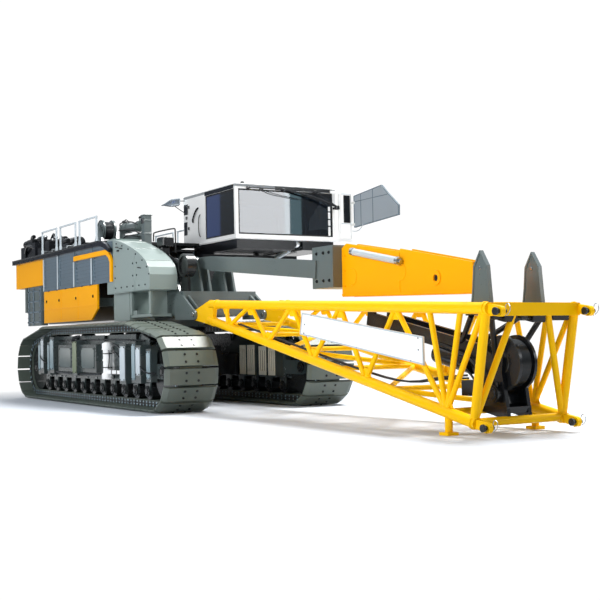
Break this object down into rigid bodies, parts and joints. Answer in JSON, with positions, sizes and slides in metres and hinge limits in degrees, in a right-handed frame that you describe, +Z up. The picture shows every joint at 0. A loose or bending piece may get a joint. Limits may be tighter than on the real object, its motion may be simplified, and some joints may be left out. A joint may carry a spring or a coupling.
{
  "type": "crawler crane base machine with lattice boom foot",
  "caption": "Narrow-track crawler crane standing for travel, with its lattice boom foot and A-frame laid forward and a tilting cab on the left.",
  "frame": {"origin": "on the slewing axis at ground level, midway between the tracks", "axes": "+X forward along the tracks and the boom, +Y to the machine's left, +Z up"},
  "size_m": [26.4133, 8.4, 6.7425],
  "materials": {
    "track": "grey-green worn paint on cast shoes",
    "frame_paint": "light grey paint, semi-gloss",
    "wheel_steel": "dark greasy cast steel",
    "jack_white": "white paint",
    "dark_paint": "near-black paint",
    "ring_steel": "machined ring",
    "pin_steel": "bare pin steel",
    "louvre_paint": "blue-grey paint",
    "orange_paint": "yellow-orange paint, semi-gloss",
    "rail_white": "pale grey paint",
    "cab_white": "white gloss paint",
    "cab_glass": "tinted glass",
    "seat_plastic": "black trim",
    "rod_chrome": "chromed rod"
  },
  "bodies": {
    "undercarriage": {"track_left": "track", "track_right": "track", "side_frames": "frame_paint", "track_wheels": "wheel_steel", "support_jacks": "jack_white", "carbody": "dark_paint", "slewing_ring": "ring_steel"},
    "superstructure": {"revolving_frame": "frame_paint", "hinge_pins": "pin_steel", "engine_block": "dark_paint", "louvre_panels": "louvre_paint", "lower_panels": "orange_paint", "rear_panels": "orange_paint", "deck": "dark_paint", "handrails": "rail_white", "front_housing": "frame_paint", "front_column": "frame_paint", "winch_stands": "frame_paint", "deck_equipment": "dark_paint", "cab_carrier": "dark_paint"},
    "deck_drum": {"deck_drum": "frame_paint"},
    "front_drum": {"front_drum": "dark_paint"},
    "cab": {"cab_floor": "cab_white", "cab_brackets": "dark_paint", "cab_shell": "cab_white", "cab_roof": "cab_white", "cab_glass": "cab_glass", "cab_seat": "seat_plastic", "cab_fittings": "dark_paint", "front_catwalk": "rail_white"},
    "cab_door": {"cab_door": "cab_white", "cab_door_glass": "cab_glass"},
    "tilt_barrel": {"tilt_barrel": "dark_paint"},
    "tilt_rod": {"tilt_rod": "rod_chrome"},
    "boom": {"lower_chords": "orange_paint", "upper_chords": "orange_paint", "side_lacing": "orange_paint", "bottom_lacing": "orange_paint", "top_lacing": "orange_paint", "end_frame": "orange_paint", "boom_feet": "orange_paint", "name_board": "jack_white", "winch_cradle": "dark_paint", "rope_horns": "frame_paint"},
    "boom_drum": {"boom_drum": "dark_paint"},
    "a_frame": {"a_frame_legs": "frame_paint", "a_frame_head": "orange_paint", "pendant_rod": "rail_white"},
    "a_frame_sheaves": {"a_frame_sheaves": "wheel_steel"}
  },
  "joints": [
    {"name": "slew", "type": "hinge", "parent": "undercarriage", "child": "superstructure", "pos_m": [0, 0, 2.29], "axis": [0, 0, 1], "continuous": true},
    {"name": "boom_raise", "type": "hinge", "parent": "superstructure", "child": "boom", "pos_m": [4.64, 0, 2.56], "axis": [0, -1, 0], "range_deg": [0, 94]},
    {"name": "a_frame_raise", "type": "hinge", "parent": "superstructure", "child": "a_frame", "pos_m": [3.4, 0, 4.1], "axis": [0, -1, 0], "range_deg": [0, 113]},
    {"name": "cab_tilt", "type": "hinge", "parent": "superstructure", "child": "cab", "pos_m": [-1.34, 3.25, 4.86], "axis": [0, -1, 0], "range_deg": [0, 20]},
    {"name": "tilt_barrel_swing", "type": "hinge", "parent": "superstructure", "child": "tilt_barrel", "pos_m": [0.45, 3.56, 4.4], "axis": [0, -1, 0], "range_deg": [0, 33.28]},
    {"name": "tilt_rod_slide", "type": "slide", "parent": "tilt_barrel", "child": "tilt_rod", "axis": [0.9718, 0, 0.2359], "range_m": [0, 0.4556]},
    {"name": "cab_door_slide", "type": "slide", "parent": "cab", "child": "cab_door", "axis": [-1, 0, 0], "range_m": [0, 0.9]},
    {"name": "deck_drum_spin", "type": "hinge", "parent": "superstructure", "child": "deck_drum", "pos_m": [-1.75, -1.25, 5.46], "axis": [0, 1, 0], "continuous": true},
    {"name": "front_drum_spin", "type": "hinge", "parent": "superstructure", "child": "front_drum", "pos_m": [1.75, 0, 3.86], "axis": [0, 1, 0], "continuous": true},
    {"name": "boom_drum_spin", "type": "hinge", "parent": "boom", "child": "boom_drum", "pos_m": [16.09967, 0, 1.32977], "axis": [0, 1, 0], "continuous": true},
    {"name": "a_frame_sheave_spin", "type": "hinge", "parent": "a_frame", "child": "a_frame_sheaves", "pos_m": [14.15, 0, 3.05], "axis": [0, 1, 0], "continuous": true}
  ],
  "couplings": [
    {"joint": "a_frame_raise", "follows": "boom_raise", "ratio": 1.2},
    {"joint": "tilt_barrel_swing", "follows": "cab_tilt", "ratio": 1.6538},
    {"joint": "tilt_rod_slide", "follows": "cab_tilt", "m_per_rad": 1.2995}
  ]
}
